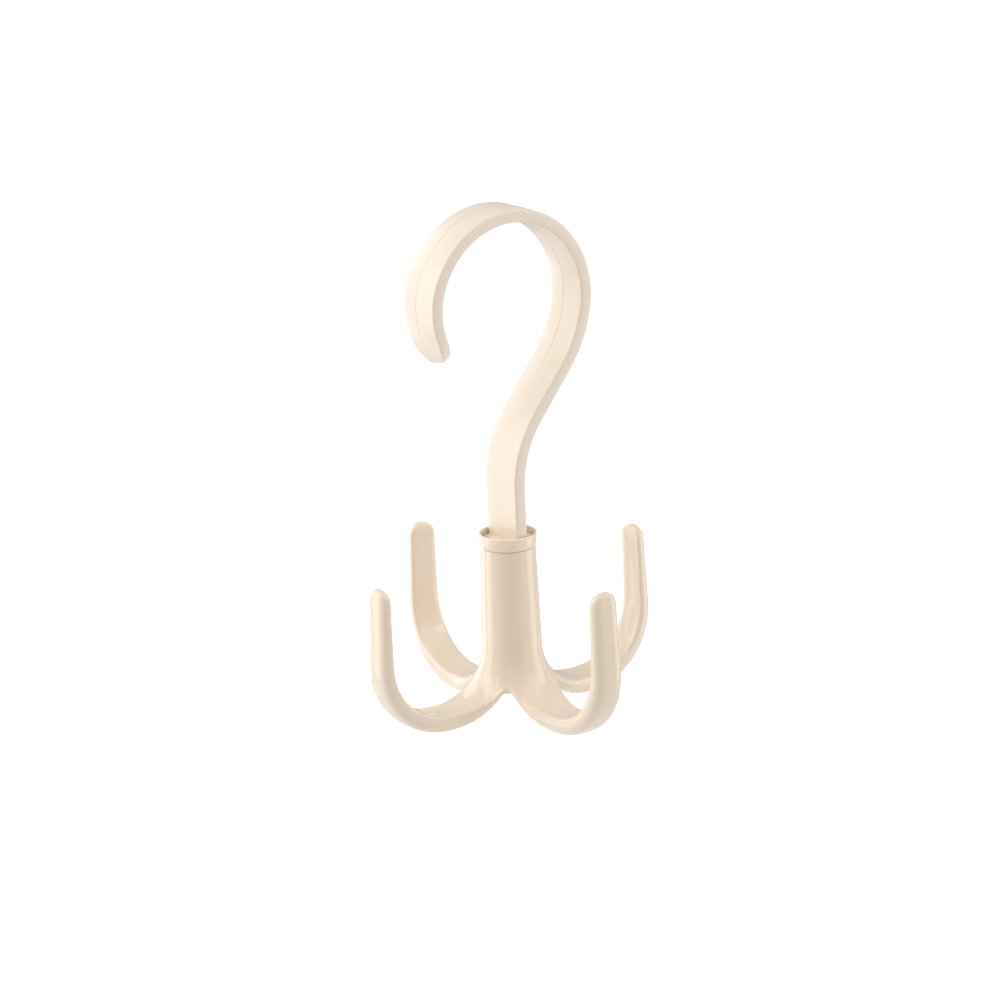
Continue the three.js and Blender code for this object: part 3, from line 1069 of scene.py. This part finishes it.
    def sizes_at(self, place: Station) -> Pair:
        """Half width and half thickness of the claw at a place along it.

        Args:
            place: One of the stations.

        Returns:
            Half width and half thickness.
        """
        bend_end = self.root_length + self.inner_bend_radius * math.pi / 2
        limb_start = bend_end + self.cradle_flat
        total = limb_start + self.outer_bend_radius * math.radians(90 + self.tip_lean)
        total += self.limb_length
        outer = smoothstep(place.along, limb_start, total)
        width = np.interp(math.degrees(place.bend), self.width_bends, self.half_widths)
        width *= lerp(1.0, self.tip_width / self.cradle_width, outer)
        formed = smoothstep(place.along, self.root_length, bend_end)
        thickness = lerp(self.root_thickness, self.cradle_thickness, formed)
        thickness = lerp(thickness, self.tip_thickness, outer)
        left = math.cos(place.drawn)
        return width * left, thickness / 2 * left ** self.tip_fullness

    def face_depth(self, place: Station, across: float) -> float:
        """Height of the claw's face over its middle line, flatter the further it has bent.

        Args:
            place: The station.
            across: Distance from the claw's middle plane.

        Returns:
            The height along the station's normal.
        """
        flat = smoothstep(math.degrees(place.bend), *self.flat_bends)
        front = lerp(self.root_radius - self.root_middle, self.sizes_at(place)[1], flat)
        return front - sagitta(across, self.root_radius, 1 - flat)

    def seam(self, place: Station) -> float:
        """Distance at which the faces of two neighbouring claws meet.

        Args:
            place: A station above the crotch.

        Returns:
            The distance from either claw's middle plane.
        """
        low, high = self.seam_search
        for _ in range(self.seam_tries):
            across = (low + high) / 2
            reach = place.x + math.cos(place.bend) * self.face_depth(place, across)
            low, high = (across, high) if reach > across else (low, across)
        return low

    def row_pair(self, number: int, place: Station) -> tuple[np.ndarray, np.ndarray]:
        """Points of the face and of the back at one station, from the middle to the side.

        Args:
            number: The station's number.
            place: The station.

        Returns:
            Points of the face and points of the back, for positive y.
        """
        shared = number < len(self.bends_before_crotch)
        half_width, half_depth = self.sizes_at(place)
        if shared:
            half_width = self.seam(place)
        spread, edged, rounded, opened, upright = (
            smoothstep(math.degrees(place.bend), *bends) for bends in (
                self.spread_bends, self.edged_bends, self.rounded_bends, self.opened_bends,
                self.upright_bends))
        behind = lerp(self.root_middle - self.bore_end_radius, half_depth, rounded)
        thickness = 2 * half_depth
        widest = lerp(self.cradle_drops[-1], self.limb_drops[-1], upright)
        fullness = lerp(self.cradle_fullness, self.limb_fullness, upright)
        cosine, sine = math.cos(place.bend), math.sin(place.bend)
        normal = np.array([cosine, 0.0, sine])
        middle = np.array([place.x, 0.0, place.z])
        face, back = [], []
        for angle, share, back_share, cradle_drop, limb_drop in zip(
                self.column_angles, self.column_shares, self.back_shares, self.cradle_drops,
                self.limb_drops):
            round_share = math.sin(math.radians(angle))
            across = half_width * lerp(round_share / math.sin(math.pi / 4), share, spread)
            drop = lerp(cradle_drop, limb_drop, upright) * thickness
            height = self.face_depth(place, across) - drop * edged
            face.append(middle + normal * height + [0.0, across, 0.0])
            across = lerp(self.bore_end_radius * round_share, half_width * back_share, opened)
            hollow = behind + sagitta(across, self.bore_end_radius, 1 - rounded)
            arch = (1 - back_share ** fullness) ** (1 / fullness)
            depth = lerp(hollow, thickness * (widest + (1 - widest) * arch) - half_depth, rounded)
            back.append(middle - normal * depth + [0.0, across, 0.0])
        if shared:
            inward = math.sqrt(0.5) * cosine
            wall = self.root_radius - self.bore_end_radius
            back[-1] = face[-1] - np.array([inward, inward, sine]) * wall
        return np.array(face), np.array(back)

    def turned_rows(self) -> Profile:
        """Radius and height of the turned rows, from the bore over the top to the outside.

        Returns:
            The rows.
        """

        def wall(z: float) -> Pair:
            """The tube's outside at a height."""
            share = min((self.tube_top - z) / self.taper_length, 1.0)
            return lerp(self.tube_top_radius, self.tube_flare_radius, share), z

        def bore(z: float) -> Pair:
            """The bore's wall at a height."""
            share = (self.web_bottom - z) / (self.web_bottom - self.bend_start)
            return lerp(self.bore_top_radius, self.bore_end_radius, share), z

        def edge(corner: Pair, offsets: Edge) -> Profile:
            """Rows round an edge, each at its offset from the sharp corner."""
            return [(corner[0] + out, corner[1] + up) for out, up in offsets]

        hole, deep = self.bearing_radius, self.counterbore_radius
        top, floor, under = self.tube_top, self.counterbore_floor, self.web_bottom
        upturned = tuple((out, -up) for out, up in reversed(self.bearing_edge))
        return [
            *map(bore, (*self.bore_rows, under - self.web_run)),
            *edge(bore(under), self.web_edge), (self.web_row, under),
            *edge((hole, under), self.bearing_edge), (hole, (floor + under) / 2),
            *edge((hole, floor), upturned), (self.floor_row, floor),
            *edge((deep, floor), self.floor_edge),
            (deep, (floor + top) / 2), *edge((deep, top), self.lip_edge),
            *edge((self.tube_top_radius, top), self.rim_edge),
            *map(wall, (top - self.rim_run, *self.wall_rows)),
        ]

    def petal(self) -> tuple[np.ndarray, Faces, int, int]:
        """Wanted points and faces of one petal.

        Returns:
            Points by row and column, the faces, the row of the crotch on the back, and the row
            of the crotch on the face.
        """
        pairs = [self.row_pair(number, place) for number, place in enumerate(self.stations())]
        mirror = np.array([1.0, -1.0, 1.0])
        angles = np.radians(self.column_angles)

        def full(half: np.ndarray) -> np.ndarray:
            """A whole row from its half, from negative to positive y."""
            return np.concatenate([half[:0:-1] * mirror, half])

        rows = [full(back) for _, back in reversed(pairs)]
        rows.extend(full(np.stack([r * np.cos(angles), r * np.sin(angles),
                                   np.full(len(angles), z)], axis=1))
                    for r, z in self.turned_rows())
        rows.extend(full(face) for face, _ in pairs)
        grid = np.arange(len(rows) * self.columns).reshape(-1, self.columns).tolist()
        faces: Faces = []
        for row, after in zip(grid, grid[1:] + grid[:1]):
            faces.extend(zip(row, row[1:], after[1:], after))
        last = len(pairs) - 1
        crotch = len(self.bends_before_crotch) - 1
        first_face = len(rows) - 1 - last
        for station in range(crotch, last):
            back, face = last - station, first_face + station
            for side, way in ((0, 1), (-1, -1)):
                strip = (grid[back][side], grid[face][side], grid[face + 1][side],
                         grid[back - 1][side])
                faces.append(strip[::way])
        return np.array(rows), faces, last - crotch, first_face + crotch

    def cage(self) -> tuple[np.ndarray, Faces]:
        """Control points of one petal whose smoothed surface runs through the wanted points.

        Returns:
            Control points, and the faces.
        """
        rows, faces, low, high = self.petal()
        wanted = rows.reshape(-1, 3)
        size = len(wanted)
        total = size * self.claws
        turn = 2 * math.pi / self.claws
        spin = np.array([[math.cos(turn), -math.sin(turn), 0.0],
                         [math.sin(turn), math.cos(turn), 0.0], [0.0, 0.0, 1.0]])
        owner = np.arange(total)
        for petal in range(self.claws):
            following = (petal + 1) % self.claws * size
            for row in range(low, high + 1):
                start = row * self.columns
                owner[following + start] = petal * size + start + self.columns - 1
        owner = owner[owner]
        quads = np.array([[owner[petal * size + corner] for corner in face]
                          for petal in range(self.claws) for face in faces])
        edges = np.array(sorted({tuple(sorted(pair)) for quad in quads
                                 for pair in zip(quad, np.roll(quad, -1))}))
        valence = np.bincount(edges.ravel(), minlength=total)[:, None]
        count = np.maximum(valence, 1)
        target = np.concatenate([wanted @ np.linalg.matrix_power(spin, petal).T
                                 for petal in range(self.claws)])
        control = target.copy()
        for _ in range(self.settle_steps):
            near, far = np.zeros((total, 3)), np.zeros((total, 3))
            np.add.at(near, edges[:, 0], control[edges[:, 1]])
            np.add.at(near, edges[:, 1], control[edges[:, 0]])
            for corner in range(4):
                np.add.at(far, quads[:, corner], control[quads[:, (corner + 2) % 4]])
            limit = (count ** 2 * control + 4 * near + far) / (count * (count + 5))
            moved = control - limit
            reach = np.maximum(np.linalg.norm(moved, axis=1, keepdims=True), NEARLY_NOTHING)
            moved *= np.minimum(1.0, self.settle_reach / reach)
            control = np.where(valence > 0, target + moved, control)
        return control[owner[:size]], faces

    def claw_tree(self) -> bpy.types.NodeTree:
        """Geometry nodes that set the petal round the axis, weld the seams and smooth it.

        Returns:
            The tree.
        """
        sketch, given = start_geometry("claw_ring", {
            "Claws": "Int", "Weld Distance": "Float", "Smoothing": "Int"})
        places = sketch.add("GeometryNodePoints", {"Count": given["Claws"]})
        turn = sketch.over(2 * math.pi, given["Claws"])
        angle = sketch.times(sketch.add("GeometryNodeInputIndex")["Index"], turn)
        ring = sketch.add("GeometryNodeInstanceOnPoints", {
            "Points": places[0], "Instance": given["Geometry"],
            "Rotation": sketch.joined(Z=angle)})
        real = sketch.add("GeometryNodeRealizeInstances", {"Geometry": ring["Instances"]})
        welded = sketch.add("GeometryNodeMergeByDistance", {
            "Geometry": real["Geometry"], "Distance": given["Weld Distance"]})
        smooth = sketch.add("GeometryNodeSubdivisionSurface", {
            "Mesh": welded["Geometry"], "Level": given["Smoothing"]})
        sketch.give_out(smooth["Mesh"], given["Material"])
        return sketch.tree

    def build(self) -> bpy.types.Object:
        """Builds the claw body and lets it stand for its CAD node.

        Returns:
            The finished object.
        """
        points, faces = self.cage()
        piece = new_object("claw_body_moulding", raw_mesh("petal", points, [], faces))
        run_tree(piece, self.claw_tree(), {
            "Claws": self.claws, "Weld Distance": self.weld_distance * MM,
            "Smoothing": self.smoothing, "Material": self.finish.material()})
        with editing(piece.data) as shell:
            turn_out(shell)
            open_edges = sum(not edge.is_manifold for edge in shell.edges)
        log.info("claw body has %d open edges", open_edges)
        piece.data.shade_smooth()
        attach(piece, Body.CLAWS.value)
        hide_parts("claw_body")
        return piece


@dataclass
class SwivelWasher:
    """The plated washer that carries the bearing web. Millimetres from the cap's rim."""

    finish: PlatedSteelFinish
    top: float = -14.3
    thickness: float = 0.8
    radius: float = 5.2
    hole_radius: float = 1.6
    punched_edge: float = 0.22
    lower_edge: float = 0.12
    hole_edge: float = 0.18
    lower_hole_edge: float = 0.1
    sides: int = 96
    sharp_above: float = 35.0

    def build(self) -> bpy.types.Object:
        """Builds the washer and lets it stand for its CAD node.

        Returns:
            The finished object.
        """
        low = self.top - self.thickness
        start = (lerp(self.hole_radius, self.radius, 0.5), low, 0)
        profile = filleted([
            start, (self.radius, low, self.lower_edge), (self.radius, self.top, self.punched_edge),
            (self.hole_radius, self.top, self.hole_edge),
            (self.hole_radius, low, self.lower_hole_edge), start])
        piece = turned_piece("swivel_washer_disc", profile, self.sides, self.finish.material())
        shade(piece.data, self.sharp_above)
        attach(piece, Body.HOOK.value)
        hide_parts("swivel_washer")
        return piece


@dataclass
class RetainingScrew:
    """The self-tapping pan head screw in the journal. Millimetres from the cap's rim."""

    finish: PlatedSteelFinish
    seat: float = -15.4
    head_radius: float = 2.9
    head_height: float = 1.9
    head_fillet: float = 0.7
    seat_fillet: float = 0.1
    fillet_steps: int = 6
    head_sides: int = 64
    shank_radius: float = 1.3
    core_radius: float = 0.95
    shank_length: float = 9.0
    shank_sunk: float = 0.4
    point_length: float = 1.5
    point_left: float = 0.1
    thread_pitch: float = 1.1
    thread_start: Pair = (0.3, 1.2)
    ridge_steepness: float = 4.0
    steps_per_turn: int = 12
    recess_span: float = 3.2
    recess_width: float = 0.7
    recess_depth: float = 1.1
    recess_taper: float = 0.62
    recess_overcut: float = 0.5
    sides: int = 48
    sharp_above: float = 32.0

    def thread_radii(self, z: float) -> list[float]:
        """Radius of the shank at each side of one height.

        Args:
            z: The height.

        Returns:
            The radii.
        """
        pointed = min(1.0, (self.seat + self.shank_length - z) / self.point_length)
        begun = smoothstep(z, *(self.seat + rise for rise in self.thread_start))
        radii = []
        for side in range(self.sides):
            phase = (z / self.thread_pitch - side / self.sides) % 1.0
            ridge = max(0.0, 1.0 - abs(phase - 0.5) * self.ridge_steepness)
            radii.append(lerp(self.core_radius, self.shank_radius, ridge * begun) * pointed)
        return radii

    def threaded_shank(self) -> bpy.types.Mesh:
        """Shank and thread as one closed skin whose ridge climbs round the axis.

        Returns:
            The mesh, sunk a little into the head.
        """
        step = self.thread_pitch / self.steps_per_turn
        start = self.seat - self.shank_sunk
        end = self.seat + self.shank_length
        heights = [start + step * i for i in range(int((end - self.point_left - start) / step))]
        pole = [0.0] * self.sides
        return ringed_mesh("screw_shank", [
            (pole, start), *((self.thread_radii(z), z) for z in heights), (pole, end)])

    def recess_tool(self, end: float) -> bpy.types.Mesh:
        """Cross-shaped tool that cuts the driver's recess.

        Args:
            end: Height of the head's outer end.

        Returns:
            The tool's mesh.
        """
        long, short = self.recess_span / 2, self.recess_width / 2
        arm = [(long, -short), (long, short), (short, short)]
        cross = []
        for _ in range(4):
            cross.extend(arm)
            arm = [(-y, x) for x, y in arm]
        levels = ((end - self.recess_overcut, 1.0), (end + self.recess_depth, self.recess_taper))
        points = [(x * share, y * share, z) for z, share in levels for x, y in cross]
        low, high = tuple(range(len(cross))), tuple(range(len(cross), 2 * len(cross)))
        walls = zip(low, low[1:] + low[:1], high[1:] + high[:1], high)
        return closed_mesh("recess", np.array(points), [low, high, *walls])

    def build(self) -> bpy.types.Object:
        """Builds the screw and lets it stand for its CAD node.

        Returns:
            The finished object.
        """
        end = self.seat - self.head_height
        profile = filleted([
            (0.0, end, 0), (self.head_radius, end, self.head_fillet),
            (self.head_radius, self.seat, self.seat_fillet), (0.0, self.seat, 0)],
            self.fillet_steps)
        piece = turned_piece("retaining_screw_steel", profile, self.head_sides,
                             self.finish.material())
        boolean(piece, new_object("shank", self.threaded_shank()), "UNION")
        boolean(piece, new_object("recess", self.recess_tool(end)), "DIFFERENCE")
        shade(piece.data, self.sharp_above)
        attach(piece, Body.HOOK.value)
        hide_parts("retaining_screw")
        return piece


@dataclass(frozen=True)
class Softbox:
    """A rectangular area lamp in metres and watts, placed round the object.

    Azimuth is in degrees to the right of the camera, and height in degrees above the horizon.
    """

    name: str
    azimuth: float
    height: float
    distance: float
    size: Pair
    power: float


@dataclass
class Studio:
    """Camera, floor and lamps. Metres, and degrees for turns."""

    azimuth: float = -34.9
    elevation: float = 16.9
    roll: float = -2.4
    distance: float = 1.254
    lens: float = 136.8
    sensor_width: float = 36.0
    clip: Pair = (0.05, 30.0)
    target: Triple = (-0.001692, 0.00118, -0.09437)
    floor_z: float = -0.60
    floor_reach: float = 6.0
    floor_roughness: float = 0.9
    floor_grain: float = 40.0
    floor_greys: Pair = (0.90, 0.93)
    floor_glow: float = 0.75
    world_glow: float = 0.52
    middle: Triple = (0.0, 0.0, -0.09)
    lamps: tuple[Softbox, ...] = (
        Softbox("left_softbox", -95.0, 5.0, 0.9, (0.5, 1.1), 2.5),
        Softbox("left_back_softbox", -135.0, 5.0, 0.9, (0.5, 1.1), 2.0),
        Softbox("left_front_fill", -60.0, 5.0, 0.9, (0.4, 1.1), 0.6),
        Softbox("right_softbox", 95.0, 5.0, 0.9, (0.5, 1.1), 2.4),
        Softbox("right_front_fill", 60.0, 5.0, 0.9, (0.4, 1.1), 0.5),
        Softbox("high_left_softbox", -70.0, 50.0, 1.0, (0.8, 0.8), 3.5),
        Softbox("high_right_softbox", 70.0, 50.0, 1.0, (0.8, 0.8), 1.4),
        Softbox("top_softbox", 0.0, 88.0, 0.9, (0.8, 0.8), 0.5),
    )

    def axes(self) -> tuple[Vector, Vector, Vector]:
        """Right, up and back directions of the camera.

        Returns:
            The three directions, with the camera's roll worked in.
        """
        turn, roll = math.radians(self.azimuth), math.radians(self.roll)
        back = direction(turn, math.radians(self.elevation))
        right = Vector((math.cos(turn), math.sin(turn), 0.0))
        up = right.cross(-back)
        tilted_right = math.cos(roll) * right + math.sin(roll) * up
        tilted_up = -math.sin(roll) * right + math.cos(roll) * up
        return tilted_right, tilted_up, back

    def add_camera(self) -> None:
        """Sets the camera where the photograph was taken from."""
        data = bpy.data.cameras.new("camera")
        data.sensor_fit = "HORIZONTAL"
        data.sensor_width = self.sensor_width
        data.lens = self.lens
        data.clip_start, data.clip_end = self.clip
        camera = new_object("camera", data)
        axes = self.axes()
        place = Vector(self.target) + axes[-1] * self.distance
        turned = Matrix(axes).transposed().to_4x4()
        camera.matrix_world = Matrix.Translation(place) @ turned
        bpy.context.scene.camera = camera

    def add_lamp(self, lamp: Softbox) -> None:
        """Adds one softbox, turned towards the object.

        Args:
            lamp: Its place, size and power.
        """
        data = bpy.data.lights.new(lamp.name, "AREA")
        data.shape = "RECTANGLE"
        data.size, data.size_y = lamp.size
        data.energy = lamp.power
        away = direction(math.radians(self.azimuth + lamp.azimuth), math.radians(lamp.height))
        source = new_object(lamp.name, data)
        source.location = Vector(self.middle) + away * lamp.distance
        source.rotation_euler = away.to_track_quat("Z", "Y").to_euler()
        source.visible_camera = False

    def floor_material(self) -> bpy.types.Material:
        """White floor that keeps the object's shadow, and that is clear when seen from below.

        Returns:
            The material.
        """
        made, sketch, shader = start_material("studio_floor")
        grain = sketch.noise(sketch.add("ShaderNodeTexCoord")["Object"], self.floor_grain)
        seen = sketch.add("ShaderNodeLightPath")["Is Camera Ray"]
        sketch.feed(shader, {
            "Base Color": sketch.blend(grain, *((grey, grey, grey, 1.0) for grey in
                                                self.floor_greys)),
            "Roughness": self.floor_roughness, "Emission Color": WHITE,
            "Emission Strength": sketch.times(seen, self.floor_glow)})
        mixed = sketch.add("ShaderNodeMixShader", {
            0: sketch.add("ShaderNodeNewGeometry")["Backfacing"], 1: shader.outputs["BSDF"],
            2: sketch.add("ShaderNodeBsdfTransparent")["BSDF"]})
        sketch.feed(made.node_tree.nodes["Material Output"], {"Surface": mixed["Shader"]})
        return made

    def add_floor(self) -> None:
        """Lays a large floor well below the claws."""
        mesh = bpy.data.meshes.new("floor")
        corners = ((-1, -1), (1, -1), (1, 1), (-1, 1))
        mesh.from_pydata([(x * self.floor_reach, y * self.floor_reach, self.floor_z)
                          for x, y in corners], [], [(0, 1, 2, 3)])
        mesh.materials.append(self.floor_material())
        floor = new_object("floor", mesh)

    def add_world(self) -> None:
        """Dim even light all round, and white where the camera looks past the floor."""
        world = bpy.data.worlds.new("studio")
        bpy.context.scene.world = world
        world.use_nodes = True
        sketch = NodeSketch(world.node_tree)
        seen = sketch.add("ShaderNodeLightPath")["Is Camera Ray"]
        sketch.feed(world.node_tree.nodes["Background"], {
            "Color": WHITE,
            "Strength": sketch.ramp(seen, (0.0, 1.0), (self.world_glow, 1.0))})

    def build(self) -> None:
        """Builds the whole stage."""
        self.add_camera()
        self.add_floor()
        self.add_world()
        for lamp in self.lamps:
            self.add_lamp(lamp)
        bpy.context.scene.view_settings.view_transform = "Standard"


def main() -> None:
    """Builds the stage and every piece in order."""
    logging.basicConfig(level=logging.INFO, format="%(name)s: %(message)s")
    Studio().build()
    # The hook's colour is the claws' beige painted lighter and whiter: a painted sheen for the
    # broad reflection on the strap's lit faces.
    hook_plastic = PlasticFinish("hook_plastic", (0.875, 0.755, 0.615), (0.885, 0.775, 0.65),
                                 roughness=0.34, coat_roughness=0.24,
                                 parting_width=0.3, parting_offset=1.2)
    collar_plastic = PlasticFinish("collar_plastic", (0.895, 0.765, 0.615), (0.90, 0.78, 0.64))
    claw_plastic = PlasticFinish("claw_plastic", (0.865, 0.725, 0.565), (0.875, 0.745, 0.60))
    steel = PlatedSteelFinish()
    assemblies = [
        StrapHook(hook_plastic), CollarCap(collar_plastic), ClawBody(claw_plastic),
        SwivelWasher(steel), RetainingScrew(steel)]
    for assembly in assemblies:
        piece = assembly.build()
        log.info("%s: %d faces", piece.name, len(piece.data.polygons))


if __name__ == "__main__":
    main()
